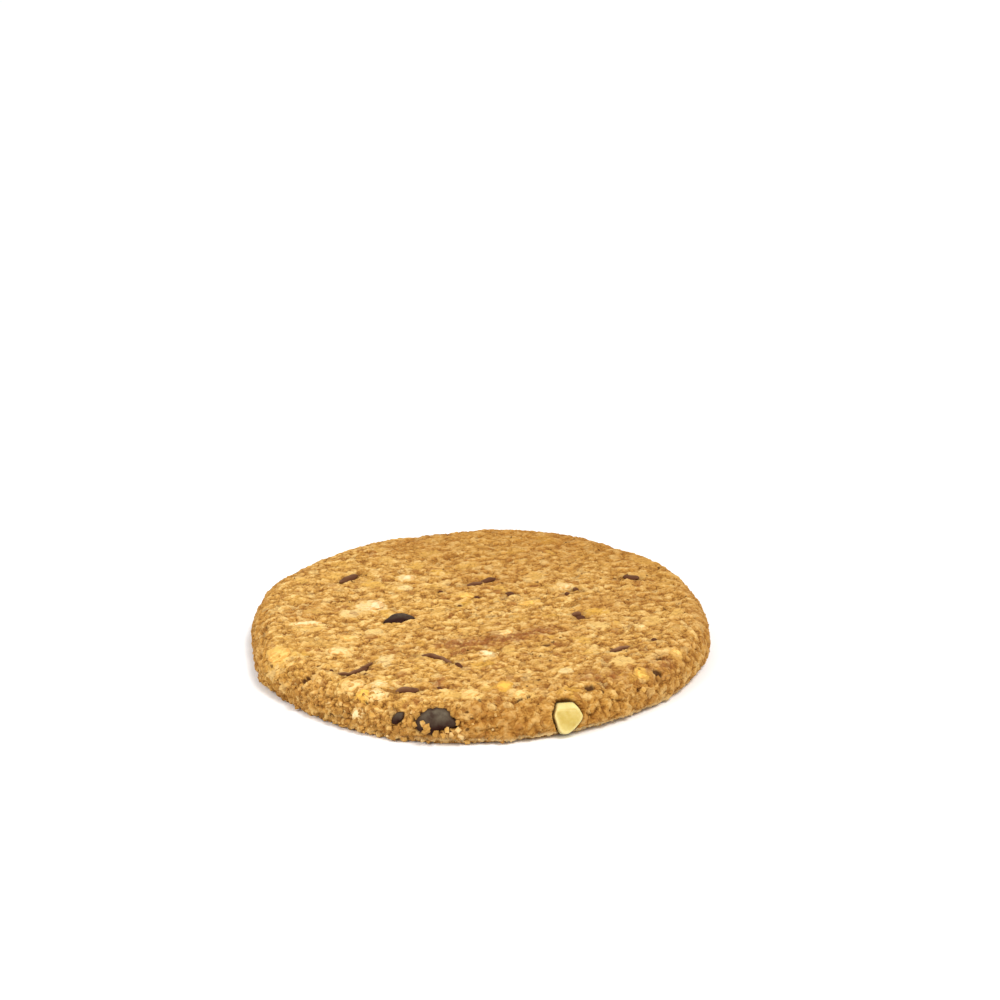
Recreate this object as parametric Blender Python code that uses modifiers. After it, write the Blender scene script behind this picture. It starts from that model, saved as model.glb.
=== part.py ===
"""A round, rough oat biscuit with chocolate pieces, as one solid.

The dough is rolled out, cut round and baked on a flat tray. So the underside is flat, the side
bulges low down, and the top rounds over into the side in a broad shoulder. Oats, chocolate and a
piece of nut are mixed into the dough. Where they show they are fused to it, as in the real thing.

Run it with: blender --background --python part.py
Sizes below are in millimetres and are turned to metres by MM. +Z is up and the front is -Y.
Azimuths are in degrees, anticlockwise from +X seen from above.
"""

import math
import random

import bmesh
import bpy
from mathutils import Matrix, Vector, noise

MM = 0.001

# The dough
RIM_RADIUS = 37.7
TOP_HEIGHT = 6.25
WIDEST_HEIGHT = 1.9
SHOULDER_WIDTH = 4.6
SHOULDER_ROUNDNESS = 2.3
UNDERCUT = 0.8
# The lower edge is rounder at the front right: how much, and where
ROUNDER, ROUNDER_AZIMUTH, ROUNDER_HALF_WIDTH = 0.8, 305, 30

# Where the cut edge swells or draws in: azimuth, height of the swell, half its width in degrees
RIM_SWELLS = (
    (80, 2.2, 17),
    (62, 0.8, 8),
    (37, 1.2, 9),
    (101, -0.8, 6),
    (118, 0.9, 6),
    (130, 0.5, 8),
    (155, 0.7, 8),
    (190, -0.5, 8),
    (206, 0.8, 8),
    (228, 0.3, 7),
    (252, 1.0, 12),
    (318, -1.1, 24),
    (6, -0.5, 12),
)
# The outline's own centre, seen from the middle of the finished biscuit
OUTLINE_CENTRE = Vector((0.3, -0.8))

# Height of the relief at each size of feature, and where the patterns of lumps and grain start
WARP_SIZE, WARP_HEIGHT = 19.0, 0.20
LUMP_SIZE, LUMP_HEIGHT, LUMP_START = 5.2, 0.30, Vector((7.0, 3.0, 1.0))
GRAIN_SIZE, GRAIN_HEIGHT, GRAIN_START = 2.3, 0.34, Vector((1.0, 9.0, 4.0))
# A crumb is highest at its middle and level with the dough at CRUMB_FOOT of its size from there
CRUMB_SIZE, CRUMB_HEIGHT, CRUMB_FOOT = 2.7, 0.95, 0.45
CRUMB_SHARE_ON_TOP = 0.35
# The back is a little thicker: how much, where, and how far in this reaches
BACK_RISE, BACK_AZIMUTH, BACK_HALF_WIDTH, BACK_REACH = 0.35, 80, 40, 22.0
# The underside lies flat on the tray inside this share of its radius
FLAT_SHARE = 0.99
# How far apart two heights are taken to find the slope between them
SLOPE_STEP = 0.4

# How finely the dough is divided before its flat parts are thinned
SECTORS = 220
TOP_RINGS = 46
SHOULDER_RINGS = 12
SIDE_RINGS = 6
UNDER_RINGS = 3
DOUGH_TRIANGLES = 7900

# How deep a piece of chocolate is sunk, as a share of its width
CHOCOLATE_DEPTH = 0.45
# Chocolate at the surface: x, y, length, width, turn in degrees, height above the dough
CHOCOLATE = (
    (-6.5, -37.4, 6.2, 3.9, 4, 0.7),
    (-12.7, -36.5, 2.1, 1.6, 50, 0.4),
    (-13.0, -3.1, 5.2, 3.4, 8, 0.5),
    (-21.9, 13.6, 4.2, 2.2, 38, 0.4),
    (-0.5, 11.6, 4.0, 2.0, 8, 0.3),
    (-11.3, -31.0, 3.4, 2.0, -3, 0.4),
    (-7.2, -19.5, 6.0, 1.3, -24, 0.3),
    (-19.5, -23.7, 7.0, 1.2, 38, 0.3),
    (25.4, 13.2, 3.0, 1.8, -10, 0.3),
    (14.7, 8.0, 3.2, 3.2, 0, 0.3),
    (16.0, -2.6, 2.4, 2.2, 0, 0.3),
    (21.8, -16.8, 4.8, 1.4, 38, 0.3),
    (4.9, 6.8, 1.9, 1.2, 15, 0.2),
    (27.4, -12.9, 1.5, 1.3, 0, 0.2),
)

# The piece of nut that looks out of the front of the shoulder
NUT_PLACE = Vector((13.3, -34.5, 2.75))
NUT_FACING = Vector((0.10, -0.88, 0.46))
NUT_WIDTH, NUT_THICKNESS, NUT_TURN = 4.9, 2.2, 12
NUT_SIDES = 7

# Large oat flakes: x, y, length, width, turn in degrees
LARGE_FLAKES = (
    (-30.8, -17.1, 4.2, 5.0, 5),
    (-22.1, -17.2, 4.2, 2.4, -30),
    (-28.1, -5.9, 4.8, 1.8, 6),
    (-18.4, 0.2, 4.8, 3.6, 20),
    (-12.2, 13.1, 3.2, 2.0, 0),
    (-17.4, -31.7, 5.2, 4.2, 35),
    (-15.6, -30.1, 2.4, 1.8, 0),
    (4.2, -30.0, 4.6, 3.6, -20),
    (3.3, -9.0, 4.6, 1.8, 24),
    (1.7, -18.6, 2.2, 1.8, 60),
    (19.3, -6.7, 4.0, 2.2, 10),
    (25.8, -9.2, 3.0, 1.8, 0),
)
# Small flakes: how far out they reach and scatter, their length, width over length and lean
SMALL_FLAKES = 40
SMALL_FLAKE_REACH, SMALL_FLAKE_SCATTER = 35.0, 1.6
SMALL_FLAKE_LENGTH = (1.8, 3.2)
SMALL_FLAKE_NARROWNESS = (0.5, 0.9)
SMALL_FLAKE_LEAN = 0.12
FLAKE_THICKNESS, FLAKE_PROUD = 0.6, 0.16
FLAKE_SIDES = 8
FLAKE_RAGGEDNESS = 0.14
# The upper face of a flake or piece of nut is this much of its lower one across
PLATE_TAPER = 0.84
SEED = 11

# Golden baked dough, dull, in linear red, green and blue
DOUGH_COLOUR, DOUGH_ROUGHNESS = (0.60, 0.34, 0.10), 0.75


def start_empty():
    """Removes the objects of the open scene."""
    for found in list(bpy.data.objects):
        bpy.data.objects.remove(found)


def nearness(azimuth, place, half_width):
    """1 at this place round the rim, falling off to 0 over its half width."""
    away = (azimuth - place + 180.0) % 360.0 - 180.0
    return math.exp(-0.5 * (away / half_width) ** 2)


def rim_radius(azimuth):
    """Radius of the widest part of the side at this azimuth."""
    swells = (swell * nearness(azimuth, place, width) for place, swell, width in RIM_SWELLS)
    return RIM_RADIUS + sum(swells)


def undercut(azimuth):
    """How far the side draws in from its widest line down to the underside."""
    return UNDERCUT + ROUNDER * nearness(azimuth, ROUNDER_AZIMUTH, ROUNDER_HALF_WIDTH)


def dough_height(inside, azimuth):
    """Height of the smooth dough at this distance inside its widest line."""
    rise = BACK_RISE * nearness(azimuth, BACK_AZIMUTH, BACK_HALF_WIDTH)
    top = TOP_HEIGHT + rise * math.exp(-inside / BACK_REACH)
    if inside >= SHOULDER_WIDTH:
        return top
    outward = 1.0 - inside / SHOULDER_WIDTH
    drop = 1.0 - math.sqrt(max(0.0, 1.0 - outward ** SHOULDER_ROUNDNESS))
    return top - (top - WIDEST_HEIGHT) * drop


def height_at(x, y):
    """Height of the smooth dough over a point, in the finished biscuit's own frame."""
    from_centre = Vector((x, y)) - OUTLINE_CENTRE
    azimuth = math.degrees(math.atan2(from_centre.y, from_centre.x))
    inside = rim_radius(azimuth) - from_centre.length
    return dough_height(max(0.0, inside), azimuth)


def normal_at(x, y):
    """Outward normal of the smooth dough over a point."""
    across = height_at(x + SLOPE_STEP, y) - height_at(x - SLOPE_STEP, y)
    along = height_at(x, y + SLOPE_STEP) - height_at(x, y - SLOPE_STEP)
    return Vector((-across, -along, 2.0 * SLOPE_STEP)).normalized()


def relief(point, on_side):
    """Height of the baked surface over the smooth dough. Crumbs stand out more on the side."""
    warp = WARP_HEIGHT * noise.noise(point / WARP_SIZE)
    lumps = LUMP_HEIGHT * noise.noise(point / LUMP_SIZE + LUMP_START)
    grain = GRAIN_HEIGHT * noise.noise(point / GRAIN_SIZE + GRAIN_START)
    from_middle = noise.voronoi(point / CRUMB_SIZE)[0][0]
    crumbs = CRUMB_HEIGHT * (CRUMB_FOOT - from_middle)
    crumb_share = CRUMB_SHARE_ON_TOP + (1.0 - CRUMB_SHARE_ON_TOP) * on_side
    return warp + lumps + grain + crumbs * crumb_share


def profile_points():
    """Half section of the dough from the middle of the top round to the middle of the underside."""
    points = []
    flat = RIM_RADIUS - SHOULDER_WIDTH
    for ring in range(TOP_RINGS):
        points.append((flat * ring / TOP_RINGS, TOP_HEIGHT))
    for ring in range(SHOULDER_RINGS + 1):
        inside = SHOULDER_WIDTH * (1.0 - math.sin(0.5 * math.pi * ring / SHOULDER_RINGS))
        points.append((RIM_RADIUS - inside, dough_height(inside, 0.0)))
    for ring in range(1, SIDE_RINGS + 1):
        down = ring / SIDE_RINGS
        inset = UNDERCUT * down ** 2
        points.append((RIM_RADIUS - inset, WIDEST_HEIGHT * (1.0 - down)))
    under = RIM_RADIUS - UNDERCUT
    for ring in range(1, UNDER_RINGS + 1):
        points.append((under * (1.0 - ring / UNDER_RINGS), 0.0))
    return points


def make_material(name, colour, roughness):
    """A Principled material of one colour, given as linear red, green and blue."""
    material = bpy.data.materials.new(name)
    material.use_nodes = True
    shader = material.node_tree.nodes["Principled BSDF"]
    shader.inputs["Base Color"].default_value = (*colour, 1.0)
    shader.inputs["Roughness"].default_value = roughness
    shader.inputs["Metallic"].default_value = 0.0
    material.diffuse_color = (*colour, 1.0)
    return material


def add_mesh_object(name, mesh, collection):
    """A new object in this collection for a mesh."""
    made = bpy.data.objects.new(name, mesh)
    collection.objects.link(made)
    return made


def apply_modifiers(target):
    """Replaces the object's mesh by what its modifiers make of it."""
    graph = bpy.context.evaluated_depsgraph_get()
    finished = bpy.data.meshes.new_from_object(target.evaluated_get(graph))
    target.modifiers.clear()
    target.data = finished


def make_dough(collection):
    """The dough: a turned profile, pressed out to the outline and roughened, then thinned."""
    points = profile_points()
    mesh = bpy.data.meshes.new("dough_profile")
    outline = bmesh.new()
    corners = [outline.verts.new((radius * MM, 0.0, height * MM)) for radius, height in points]
    for corner, following in zip(corners, corners[1:]):
        outline.edges.new((corner, following))
    outline.to_mesh(mesh)
    outline.free()
    dough = add_mesh_object("biscuit", mesh, collection)
    turned = dough.modifiers.new("turned", "SCREW")
    turned.steps = SECTORS
    turned.render_steps = SECTORS
    turned.use_merge_vertices = True
    turned.merge_threshold = 0.00001
    apply_modifiers(dough)
    shape_dough(dough.data)
    thinned = dough.modifiers.new("thinned", "DECIMATE")
    thinned.ratio = min(1.0, DOUGH_TRIANGLES / sum(len(f.vertices) - 2 for f in dough.data.polygons))
    thinned.use_collapse_triangulate = True
    apply_modifiers(dough)
    return dough


def shape_dough(mesh):
    """Moves each point of the turned dough out to the real outline and adds the relief."""
    for vertex in mesh.vertices:
        radius = math.hypot(vertex.co.x, vertex.co.y) / MM
        height = vertex.co.z / MM
        azimuth = math.degrees(math.atan2(vertex.co.y, vertex.co.x))
        widest = rim_radius(azimuth)
        stretched = radius * widest / RIM_RADIUS
        inside = max(0.0, widest - stretched)
        if height >= WIDEST_HEIGHT:
            height = dough_height(inside, azimuth)
            on_side = 1.0 - min(1.0, inside / SHOULDER_WIDTH)
        else:
            on_side = 1.0
            stretched -= (undercut(azimuth) - UNDERCUT) * (1.0 - height / WIDEST_HEIGHT) ** 2
        direction = Vector((math.cos(math.radians(azimuth)), math.sin(math.radians(azimuth)), 0.0))
        place = Vector((*OUTLINE_CENTRE, 0.0)) + direction * stretched + Vector((0.0, 0.0, height))
        lean = Vector((direction.x * on_side, direction.y * on_side, 1.0 - on_side)).normalized()
        on_tray = place.z <= 0.0 and radius < FLAT_SHARE * (RIM_RADIUS - UNDERCUT)
        if not on_tray:
            place += lean * relief(place, on_side)
        vertex.co = place * MM


def make_lump(name, x, y, length, width, turn, proud, collection):
    """A rounded lump of chocolate, sunk in the dough so that it stands this far above it."""
    normal = normal_at(x, y)
    up = Vector((0.0, 0.0, 1.0)).rotation_difference(normal).to_matrix().to_4x4()
    depth = CHOCOLATE_DEPTH * width + proud
    centre = Vector((x, y, height_at(x, y))) + normal * (proud - 0.5 * depth)
    size = Matrix.Diagonal((length / 2, width / 2, depth / 2, 1.0))
    place = Matrix.Translation(centre) @ up @ Matrix.Rotation(math.radians(turn), 4, "Z") @ size
    lump = bmesh.new()
    bmesh.ops.create_icosphere(lump, subdivisions=2, radius=1.0, matrix=place)
    bmesh.ops.scale(lump, vec=(MM, MM, MM), verts=lump.verts)
    mesh = bpy.data.meshes.new(name)
    lump.to_mesh(mesh)
    lump.free()
    return add_mesh_object(name, mesh, collection)


def make_plate(name, place, size, sides, draw, collection):
    """A flat many-sided piece with ragged corners, such as a flake, standing in this place."""
    plate = bmesh.new()
    bmesh.ops.create_cone(
        plate, cap_ends=True, segments=sides, radius1=0.5, radius2=0.5 * PLATE_TAPER, depth=1.0
    )
    for low in [vertex for vertex in plate.verts if vertex.co.z < 0.0]:
        high = next(e.other_vert(low) for e in low.link_edges if e.other_vert(low).co.z > 0.0)
        ragged = 1.0 + draw.uniform(-FLAKE_RAGGEDNESS, FLAKE_RAGGEDNESS)
        for corner in (low, high):
            corner.co.x *= ragged
            corner.co.y *= ragged
    bmesh.ops.transform(plate, matrix=place @ Matrix.Diagonal((*size, 1.0)), verts=plate.verts)
    bmesh.ops.scale(plate, vec=(MM, MM, MM), verts=plate.verts)
    mesh = bpy.data.meshes.new(name)
    plate.to_mesh(mesh)
    plate.free()
    return add_mesh_object(name, mesh, collection)


def make_flake(name, x, y, length, width, turn, tilt, draw, collection):
    """An oat flake pressed into the crust, with its upper face just above the baked surface."""
    normal = (normal_at(x, y) + tilt).normalized()
    up = Vector((0.0, 0.0, 1.0)).rotation_difference(normal).to_matrix().to_4x4()
    surface = Vector((x, y, height_at(x, y)))
    surface += normal * relief(surface, 1.0 - normal.z)
    centre = surface + normal * (FLAKE_PROUD - 0.5 * FLAKE_THICKNESS)
    place = Matrix.Translation(centre) @ up @ Matrix.Rotation(math.radians(turn), 4, "Z")
    size = (length, width, FLAKE_THICKNESS)
    return make_plate(name, place, size, FLAKE_SIDES, draw, collection)


def make_flakes(collection):
    """The large flakes in their places, and smaller ones spread evenly over the top."""
    draw = random.Random(SEED)
    level = Vector((0.0, 0.0, 0.0))
    for index, (x, y, length, width, turn) in enumerate(LARGE_FLAKES):
        make_flake(f"large_flake_{index}", x, y, length, width, turn, level, draw, collection)
    golden_turn = math.pi * (3.0 - math.sqrt(5.0))
    for index in range(SMALL_FLAKES):
        distance = SMALL_FLAKE_REACH * math.sqrt((index + 0.5) / SMALL_FLAKES)
        turn = index * golden_turn
        aside = Vector((draw.uniform(-1.0, 1.0), draw.uniform(-1.0, 1.0))) * SMALL_FLAKE_SCATTER
        x = OUTLINE_CENTRE.x + distance * math.cos(turn) + aside.x
        y = OUTLINE_CENTRE.y + distance * math.sin(turn) + aside.y
        length = draw.uniform(*SMALL_FLAKE_LENGTH)
        width = length * draw.uniform(*SMALL_FLAKE_NARROWNESS)
        lean = Vector((draw.uniform(-1.0, 1.0), draw.uniform(-1.0, 1.0), 0.0)) * SMALL_FLAKE_LEAN
        name = f"small_flake_{index}"
        make_flake(name, x, y, length, width, draw.uniform(0.0, 180.0), lean, draw, collection)


def make_nut(collection):
    """A chopped piece of nut, a many-sided block that looks out of the shoulder."""
    up = Vector((0.0, 0.0, 1.0)).rotation_difference(NUT_FACING).to_matrix().to_4x4()
    place = Matrix.Translation(NUT_PLACE) @ up @ Matrix.Rotation(math.radians(NUT_TURN), 4, "Z")
    size = (NUT_WIDTH, NUT_WIDTH, NUT_THICKNESS)
    return make_plate("nut", place, size, NUT_SIDES, random.Random(SEED), collection)


def fuse(dough, pieces):
    """Joins the collection's pieces to the dough by one union, and removes them."""
    joined = dough.modifiers.new("joined", "BOOLEAN")
    joined.operation = "UNION"
    joined.operand_type = "COLLECTION"
    joined.collection = pieces
    joined.solver = "EXACT"
    apply_modifiers(dough)
    for piece in list(pieces.objects):
        bpy.data.objects.remove(piece)
    bpy.data.collections.remove(pieces)


def shells_of(mesh):
    """The closed surfaces that make up a mesh, each as a list of faces."""
    waiting = set(mesh.faces)
    shells = []
    while waiting:
        edge_of_shell = [waiting.pop()]
        shell = list(edge_of_shell)
        while edge_of_shell:
            face = edge_of_shell.pop()
            for edge in face.edges:
                for beside in edge.link_faces:
                    if beside in waiting:
                        waiting.remove(beside)
                        edge_of_shell.append(beside)
                        shell.append(beside)
        shells.append(shell)
    return shells


def keep_outer_shell(dough):
    """Fills the small hollows that the union seals, and drops its loose scraps."""
    mesh = bmesh.new()
    mesh.from_mesh(dough.data)
    shells = sorted(shells_of(mesh), key=len)
    for shell in shells[:-1]:
        bmesh.ops.delete(mesh, geom=shell, context="FACES")
    mesh.to_mesh(dough.data)
    mesh.free()


def settle(dough):
    """Sets the middle of the biscuit over the origin."""
    xs = [vertex.co.x for vertex in dough.data.vertices]
    ys = [vertex.co.y for vertex in dough.data.vertices]
    middle = Vector((0.5 * (min(xs) + max(xs)), 0.5 * (min(ys) + max(ys)), 0.0))
    dough.data.transform(Matrix.Translation(-middle))


def main():
    start_empty()
    part = bpy.data.collections.new("oat_biscuit")
    pieces = bpy.data.collections.new("baked_in_pieces")
    for collection in (part, pieces):
        bpy.context.scene.collection.children.link(collection)
    dough = make_dough(part)
    for index, (x, y, length, width, turn, proud) in enumerate(CHOCOLATE):
        make_lump(f"chocolate_{index}", x, y, length, width, turn, proud, pieces)
    make_flakes(pieces)
    make_nut(pieces)
    fuse(dough, pieces)
    keep_outer_shell(dough)
    settle(dough)
    dough.data.materials.clear()
    dough.data.materials.append(make_material("baked_dough", DOUGH_COLOUR, DOUGH_ROUGHNESS))


main()
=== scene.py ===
"""Looks of a round oat biscuit with chocolate pieces and a piece of nut in it.

The sections follow the biscuit as it is made: dough, oat flakes, chocolate, nut, crumbs.
Sizes are in millimetres and are turned to metres by MM. +Z is up and the front is -Y.
Azimuths are in degrees, anticlockwise from +X seen from above.
"""

import math
import random

import bpy
import numpy as np
from mathutils import Matrix, Vector


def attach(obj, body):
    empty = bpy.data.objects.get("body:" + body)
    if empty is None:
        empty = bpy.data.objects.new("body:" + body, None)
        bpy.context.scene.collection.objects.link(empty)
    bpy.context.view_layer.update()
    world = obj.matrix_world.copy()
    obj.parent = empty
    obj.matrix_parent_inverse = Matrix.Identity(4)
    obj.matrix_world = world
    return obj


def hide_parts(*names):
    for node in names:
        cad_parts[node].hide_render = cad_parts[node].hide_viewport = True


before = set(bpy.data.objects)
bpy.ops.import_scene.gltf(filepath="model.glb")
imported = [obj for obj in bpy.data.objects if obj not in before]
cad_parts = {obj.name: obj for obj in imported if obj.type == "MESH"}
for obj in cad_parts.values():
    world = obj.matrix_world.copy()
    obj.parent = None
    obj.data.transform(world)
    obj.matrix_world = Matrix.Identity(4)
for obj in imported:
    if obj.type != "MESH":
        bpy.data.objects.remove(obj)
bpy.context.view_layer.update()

# The dough. Stiff oat and butter dough, rolled out, cut round and baked dry on a flat tray.
# It spread a little at the back, and its cut edge rounded over.
MM = 0.001
RIM_RADIUS = 37.7
TOP_HEIGHT = 6.25
WIDEST_HEIGHT = 1.9
SHOULDER_WIDTH = 4.4
SHOULDER_STEPS, SHOULDER_FULLNESS, SHOULDER_ROUNDNESS = 10, 0.56, 2.3
UNDERCUT = 0.8
ROUNDER, ROUNDER_AZIMUTH, ROUNDER_HALF_WIDTH = 0.8, 305, 30
# Where the cut edge swells or draws in: azimuth, height of the swell, half its width in degrees
RIM_SWELLS = (
    (80, 2.2, 17),
    (62, 0.8, 8),
    (37, 1.2, 9),
    (101, -0.8, 6),
    (118, 0.9, 6),
    (130, 0.5, 8),
    (155, 0.7, 8),
    (190, -0.5, 8),
    (206, 0.8, 8),
    (228, 0.3, 7),
    (252, 1.0, 12),
    (318, -1.1, 24),
    (6, -0.5, 12),
)
OUTLINE_CENTRE = Vector((0.3, -0.8))
BACK_RISE, BACK_AZIMUTH, BACK_HALF_WIDTH, BACK_REACH = 0.35, 80, 40, 22.0
FACE_SIZE = 0.307
UNDERSIDE_HEIGHT, UNDERSIDE_INSET, UNDERSIDE_SHARE = 0.2, 2.5, 0.15


def nearness(azimuth, place, half_width):
    """1 at this place round the rim, falling off to 0 over its half width."""
    away = (azimuth - place + 180.0) % 360.0 - 180.0
    return np.exp(-0.5 * (away / half_width) ** 2)


def held(values):
    """The values, held between 0 and 1."""
    return np.clip(values, 0.0, 1.0)


def rim_radius(azimuth):
    """Radius of the widest part of the side at this azimuth."""
    swells = (swell * nearness(azimuth, place, width) for place, swell, width in RIM_SWELLS)
    return RIM_RADIUS + sum(swells)


def new_piece(operator, **sizes):
    """A new primitive, made with nothing else selected."""
    bpy.ops.object.select_all(action="DESELECT")
    operator(**sizes)
    return bpy.context.object


def points_of(piece):
    """The piece's points in millimetres, as an array."""
    flat = np.empty(len(piece.data.vertices) * 3, np.float32)
    piece.data.vertices.foreach_get("co", flat)
    return flat.reshape(-1, 3).astype(float) / MM


def set_points(piece, points):
    """Gives the piece these points, in millimetres."""
    piece.data.vertices.foreach_set("co", (points * MM).astype(np.float32).ravel())
    piece.data.update()


def modify(piece, kind, **settings):
    """Gives the piece a modifier with these settings, and applies it."""
    modifier = piece.modifiers.new(kind, kind)
    for name, value in settings.items():
        setattr(modifier, name, value)
    bpy.ops.object.select_all(action="DESELECT")
    piece.select_set(True)
    bpy.context.view_layer.objects.active = piece
    bpy.ops.object.modifier_apply(modifier=modifier.name)


def keep_number(piece, name, numbers):
    """Keeps one number a point in the piece, for its relief and its material to read."""
    attributes = piece.data.attributes
    kept = attributes.get(name) or attributes.new(name, "FLOAT", "POINT")
    kept.data.foreach_set("value", numbers.astype(np.float32))


def kept_number(piece, name):
    """The numbers that the piece keeps under this name."""
    numbers = np.empty(len(piece.data.vertices), np.float32)
    piece.data.attributes[name].data.foreach_get("value", numbers)
    return numbers


dough = new_piece(
    bpy.ops.mesh.primitive_cylinder_add,
    vertices=180,
    radius=RIM_RADIUS * MM,
    depth=TOP_HEIGHT * MM,
    location=(0.0, 0.0, 0.5 * TOP_HEIGHT * MM),
)
dough.name = "dough"
bpy.ops.object.transform_apply(location=True, rotation=False, scale=False)
bpy.ops.object.mode_set(mode="EDIT")
bpy.ops.mesh.select_all(action="DESELECT")
bpy.ops.object.mode_set(mode="OBJECT")
for edge in dough.data.edges:
    ends = [dough.data.vertices[index].co.z for index in edge.vertices]
    edge.select = min(ends) > 0.9 * TOP_HEIGHT * MM
bpy.ops.object.mode_set(mode="EDIT")
bpy.ops.mesh.select_mode(type="EDGE")
bpy.ops.mesh.bevel(
    offset=SHOULDER_WIDTH * MM,
    segments=SHOULDER_STEPS,
    profile=SHOULDER_FULLNESS,
    affect="EDGES",
)
bpy.ops.object.mode_set(mode="OBJECT")
modify(dough, "REMESH", mode="VOXEL", voxel_size=FACE_SIZE * MM)

# The cut edge is pressed out to the real outline, and the back comes up a little
points = points_of(dough)
radius = np.hypot(points[:, 0], points[:, 1])
azimuth = np.degrees(np.arctan2(points[:, 1], points[:, 0]))
widest = rim_radius(azimuth)
stretched = radius * widest / RIM_RADIUS
inside = np.clip(widest - stretched, 0.0, None)
below = held(1.0 - points[:, 2] / WIDEST_HEIGHT)
undercut = UNDERCUT + ROUNDER * nearness(azimuth, ROUNDER_AZIMUTH, ROUNDER_HALF_WIDTH)
near_rim = held(stretched / widest) ** 4
stretched = stretched - undercut * below ** 2 * near_rim
rise = BACK_RISE * nearness(azimuth, BACK_AZIMUTH, BACK_HALF_WIDTH) * np.exp(-inside / BACK_REACH)
points[:, 2] *= 1.0 + rise / TOP_HEIGHT
along = np.divide(stretched, radius, out=np.ones_like(radius), where=radius > 0.01)
points[:, 0] = points[:, 0] * along + OUTLINE_CENTRE.x
points[:, 1] = points[:, 1] * along + OUTLINE_CENTRE.y
set_points(dough, points)

# The flat underside needs fewer faces than the sides that show
low_points = np.flatnonzero((points[:, 2] < UNDERSIDE_HEIGHT) & (inside > UNDERSIDE_INSET))
underside = dough.vertex_groups.new(name="underside")
underside.add(low_points.tolist(), 1.0, "REPLACE")
modify(
    dough, "DECIMATE",
    vertex_group="underside", vertex_group_factor=10.0, ratio=1.0 - UNDERSIDE_SHARE,
)
dough.vertex_groups.clear()

# What the relief and the colours read: the place on the smooth dough, how far down the side it is,
# how crumbly the side is there, how much darker it is, partly baked browner and partly painted
# shade, and where its lower edge is paler.
# Azimuth, half width in degrees, and how crumbly or how much paler it is there
MOST_CRUMBLY = (232, 36, 0.7)
LESS_CRUMBLY = (278, 45, 0.22)
LEAST_CRUMBLY = 0.1
PALER_PLACES = ((232, 28, 0.62), (328, 28, 0.434))
DARKER_BACK_AZIMUTH, DARKER_BACK_HALF_WIDTH, DARKER_BACK_REACH = 72, 50, 24.0
PALER_EDGE_AZIMUTH, PALER_EDGE_HALF_WIDTH, PALER_EDGE_HEIGHT, PALER_EDGE_REACH = 292, 34, 0.6, 0.5
points = points_of(dough)
from_centre = points[:, :2] - np.array(OUTLINE_CENTRE)
azimuth = np.degrees(np.arctan2(from_centre[:, 1], from_centre[:, 0]))
inside = np.clip(rim_radius(azimuth) - np.hypot(*from_centre.T), 0.0, None)
place = dough.data.attributes.new("place", "FLOAT_VECTOR", "POINT")
place.data.foreach_set("vector", points.astype(np.float32).ravel())
under = held(1.0 - points[:, 2] / 0.25) * held(inside - 1.0)
side = held(1.0 - inside / SHOULDER_WIDTH) * (1.0 - under)
crumbly = held(1.25 - inside / SHOULDER_WIDTH) * (1.0 - under)
keep_number(dough, "under", under)
keep_number(dough, "side", side)
most, less = (
    share * nearness(azimuth, place, width) for place, width, share in (MOST_CRUMBLY, LESS_CRUMBLY)
)
keep_number(dough, "crumbly", crumbly * held(LEAST_CRUMBLY + less + most))
# The side is browner, less so at the front left and front right, and the top darker toward the back
# right: partly baked browning, partly painted shade
paler = sum(share * nearness(azimuth, place, width) for place, width, share in PALER_PLACES)
toast_and_shade = side * (1.0 - paler)
darker_back = nearness(azimuth, DARKER_BACK_AZIMUTH, DARKER_BACK_HALF_WIDTH) * np.exp(-inside / DARKER_BACK_REACH)
keep_number(dough, "toast_and_shade", np.maximum(toast_and_shade, darker_back))
# Paler along the lower edge at the front right
paler_lower_edge = np.exp(-(((points[:, 2] - PALER_EDGE_HEIGHT) / PALER_EDGE_REACH) ** 2))
paler_lower_edge = paler_lower_edge * nearness(azimuth, PALER_EDGE_AZIMUTH, PALER_EDGE_HALF_WIDTH)
keep_number(dough, "paler_lower_edge", paler_lower_edge)

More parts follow.
